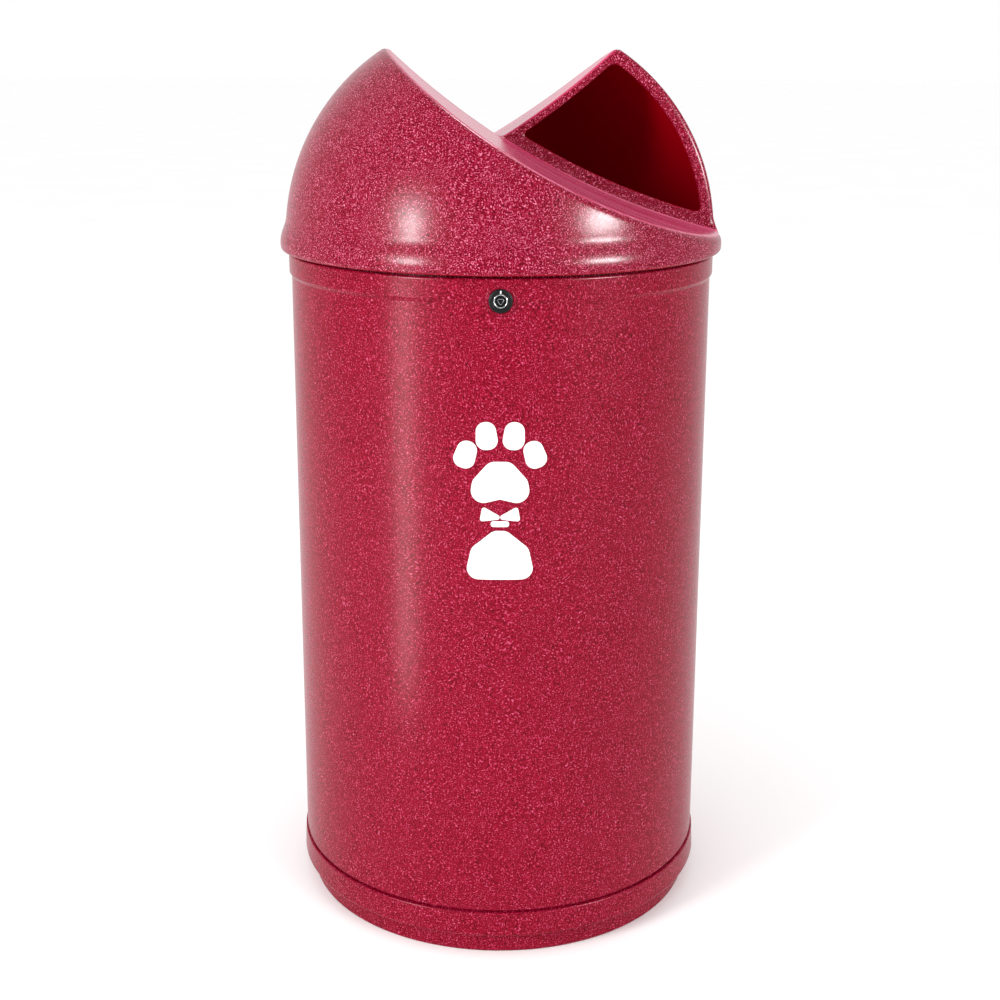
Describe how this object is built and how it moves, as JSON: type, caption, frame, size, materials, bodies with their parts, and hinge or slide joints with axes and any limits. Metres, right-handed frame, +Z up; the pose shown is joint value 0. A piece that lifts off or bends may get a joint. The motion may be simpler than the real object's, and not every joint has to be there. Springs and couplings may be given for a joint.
{
  "type": "litter bin",
  "caption": "Round free-standing litter bin with a domed hinged hood, opposed mouths, a front cam lock, a bolted base and a lift-out metal liner.",
  "frame": {"origin": "on the bin's axis at ground level, in the middle of the ground anchor holes", "axes": "+Z up along the bin's axis, -Y is the front with the lock, +X is to the right when facing the lock, the hinge is at +Y"},
  "size_m": [0.567, 0.5735, 1.1438],
  "materials": {
    "fleck_polyethylene": "rotomoulded polyethylene, crimson with pale and dark granite fleck, satin",
    "white_vinyl": "cut self-adhesive film",
    "black_lock": "moulded black nylon",
    "lock_core": "black passivated zinc die casting",
    "stainless_hinge": "brushed stainless sheet",
    "stainless_fastener": "turned stainless",
    "zinc_fastener": "bright zinc plated",
    "brass_insert": "turned brass",
    "galvanised_sheet": "hot-dip galvanised sheet with spangle",
    "rivet": "bright",
    "handle_steel": "zinc plated wire"
  },
  "bodies": {
    "bin_body": {"body_shell": "fleck_polyethylene", "base_moulding": "fleck_polyethylene", "base_inserts": "brass_insert", "base_bolts": "zinc_fastener", "base_washers": "zinc_fastener", "hinge_body_leaf": "stainless_hinge", "hinge_pin": "stainless_hinge", "hinge_body_bolts": "stainless_fastener", "hinge_body_backing_plate": "galvanised_sheet", "hinge_body_nuts": "stainless_fastener", "lock_housing": "black_lock", "lock_nut": "zinc_fastener", "sign_paw": "white_vinyl", "sign_bag": "white_vinyl"},
    "hood": {"hood_shell": "fleck_polyethylene", "hinge_hood_leaf": "stainless_hinge", "hinge_hood_bolts": "stainless_fastener", "hinge_hood_backing_plate": "galvanised_sheet", "hinge_hood_nuts": "stainless_fastener", "striker_bracket": "galvanised_sheet", "striker_screws": "stainless_fastener", "striker_nuts": "stainless_fastener"},
    "lock_core": {"lock_rotor": "lock_core", "lock_cam": "galvanised_sheet", "lock_cam_washer": "zinc_fastener", "lock_cam_bolt": "zinc_fastener"},
    "liner": {"liner_wall": "galvanised_sheet", "liner_base": "galvanised_sheet", "liner_rivets": "rivet", "handle_bracket_right": "handle_steel", "handle_bracket_left": "handle_steel"},
    "right_handle": {"handle_right": "handle_steel"},
    "left_handle": {"handle_left": "handle_steel"}
  },
  "joints": [
    {"name": "hood_open", "type": "hinge", "parent": "bin_body", "child": "hood", "pos_m": [0, 0.2855, 0.889], "axis": [-1, 0, 0], "range_deg": [0, 100]},
    {"name": "lock_turn", "type": "hinge", "parent": "bin_body", "child": "lock_core", "pos_m": [0, -0.2477, 0.8624], "axis": [0, 1, 0], "range_deg": [0, 90]},
    {"name": "liner_lift", "type": "slide", "parent": "bin_body", "child": "liner", "axis": [0, 0, 1], "range_m": [0, 0.48]},
    {"name": "right_handle_swing", "type": "hinge", "parent": "liner", "child": "right_handle", "pos_m": [0.2136, 0, 0.782], "axis": [0, 1, 0], "range_deg": [0, 165]},
    {"name": "left_handle_swing", "type": "hinge", "parent": "liner", "child": "left_handle", "pos_m": [-0.2136, 0, 0.782], "axis": [0, -1, 0], "range_deg": [0, 165]}
  ],
  "couplings": [
    {"joint": "liner_lift", "follows": "hood_open", "m_per_rad": 0.27}
  ]
}
